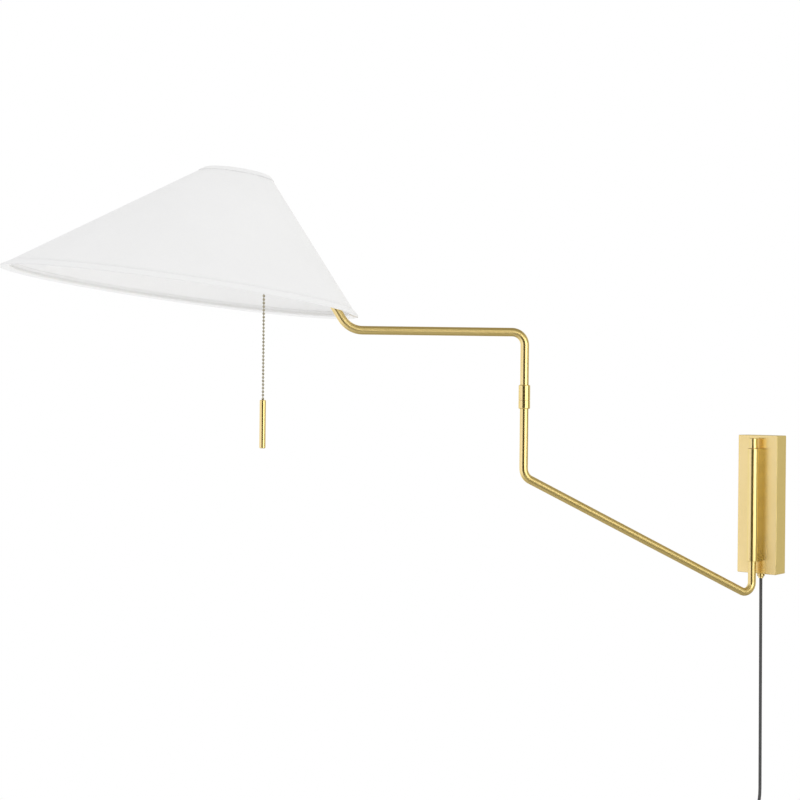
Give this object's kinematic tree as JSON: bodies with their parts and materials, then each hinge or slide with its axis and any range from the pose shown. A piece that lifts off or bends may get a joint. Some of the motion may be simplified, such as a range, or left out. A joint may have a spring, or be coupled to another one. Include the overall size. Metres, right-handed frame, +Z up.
{
  "type": "swing arm wall sconce",
  "caption": "Plug-in wall lamp: slim box backplate, barrel pivot, cranked two-piece swing arm, tipped oblique cone shade on a tilt knuckle, pull chain and hanging cord.",
  "frame": {"origin": "centre of the backplate's wall face, where it meets the wall", "axes": "+Y into the wall, -Y out into the room, +Z up, +X to the right of someone facing the wall"},
  "size_m": [0.6479, 0.8434, 0.9546],
  "materials": {
    "satin_brass": "satin, clear lacquered",
    "bearing_bronze": "turned",
    "zinc_steel": "zinc plated",
    "socket_shell_brass": "pressed sheet",
    "phenolic": "moulded",
    "card_liner": "fibre card",
    "aluminium_shell": "pressed",
    "white_shade_fabric": "laminated linen",
    "white_shade_trim": "folded self trim",
    "white_wire": "powder coated",
    "opal_glass": "opal",
    "black_cord": "matte",
    "black_plug": "matte moulded",
    "wire_insulation": "smooth",
    "crimp_nylon": "moulded",
    "blade_brass": "bright"
  },
  "bodies": {
    "base": {"backplate_cover": "satin_brass", "wall_bracket": "zinc_steel", "cover_screws": "zinc_steel", "backing_bar": "zinc_steel", "barrel_block": "satin_brass", "lower_barrel_bush": "bearing_bronze", "upper_barrel_bush": "bearing_bronze", "barrel_screws": "zinc_steel", "cord_gland": "satin_brass", "gland_nut": "zinc_steel", "inner_cord": "black_cord", "wire_crimps": "crimp_nylon", "barrel_lead": "wire_insulation", "cord_run": "black_cord", "cord_coil": "black_cord", "cord_tie": "black_plug", "cord_tail": "black_cord", "plug_body": "black_plug", "plug_blades": "blade_brass"},
    "lower_arm": {"lower_arm_tube": "satin_brass", "pivot_washer": "bearing_bronze", "pivot_cap": "satin_brass", "lower_arm_wire": "wire_insulation", "elbow_lower_collar": "satin_brass", "elbow_stem": "bearing_bronze", "elbow_washer": "bearing_bronze", "stem_nut": "bearing_bronze"},
    "upper_arm": {"elbow_upper_collar": "satin_brass", "upper_arm_tube": "satin_brass", "upper_arm_wire": "wire_insulation", "tilt_tongue": "satin_brass"},
    "shade_head": {"tilt_housing": "satin_brass", "tilt_washers": "bearing_bronze", "tilt_screw": "zinc_steel", "tilt_nut": "zinc_steel", "socket_nipple": "bearing_bronze", "socket_cap": "socket_shell_brass", "socket_shell": "socket_shell_brass", "socket_liner": "card_liner", "socket_body": "phenolic", "screw_shell": "aluminium_shell", "centre_contact": "socket_shell_brass", "chain_spout": "satin_brass", "bulb_base": "aluminium_shell", "bulb_glass": "opal_glass", "shade_fabric": "white_shade_fabric", "bottom_trim": "white_shade_trim", "top_trim": "white_shade_trim", "bottom_ring": "white_wire", "shade_spider": "white_wire", "finial": "satin_brass"},
    "switch_pull": {"switch_link": "satin_brass"},
    "chain": {"ball_chain": "satin_brass"},
    "pull": {"pull_bar": "satin_brass"}
  },
  "joints": [
    {"name": "wall_swivel", "type": "hinge", "parent": "base", "child": "lower_arm", "pos_m": [0, -0.0377, 0], "axis": [0, 0, 1], "range_deg": [-67, 109]},
    {"name": "elbow_swivel", "type": "hinge", "parent": "lower_arm", "child": "upper_arm", "pos_m": [-0.12543, -0.36445, 0.131], "axis": [0, 0, 1], "range_deg": [-130, 180]},
    {"name": "shade_tilt", "type": "hinge", "parent": "upper_arm", "child": "shade_head", "pos_m": [-0.36806, -0.59876, 0.366], "axis": [-0.6947, 0.7193, 0], "range_deg": [-12, 1]},
    {"name": "pull_switch", "type": "slide", "parent": "shade_head", "child": "switch_pull", "axis": [0, 0, -1], "range_m": [0, 0.008], "stiffness_N_per_m": 800, "springref_m": -0.006},
    {"name": "chain_swing", "type": "hinge", "parent": "switch_pull", "child": "chain", "pos_m": [-0.34339, -0.57493, 0.32149], "axis": [-0.6947, 0.7193, 0], "range_deg": [-11, 22]},
    {"name": "pull_bar_swing", "type": "hinge", "parent": "chain", "child": "pull", "pos_m": [-0.34339, -0.57493, 0.12565], "axis": [-0.7193, -0.6947, 0], "range_deg": [-20, 20]}
  ]
}
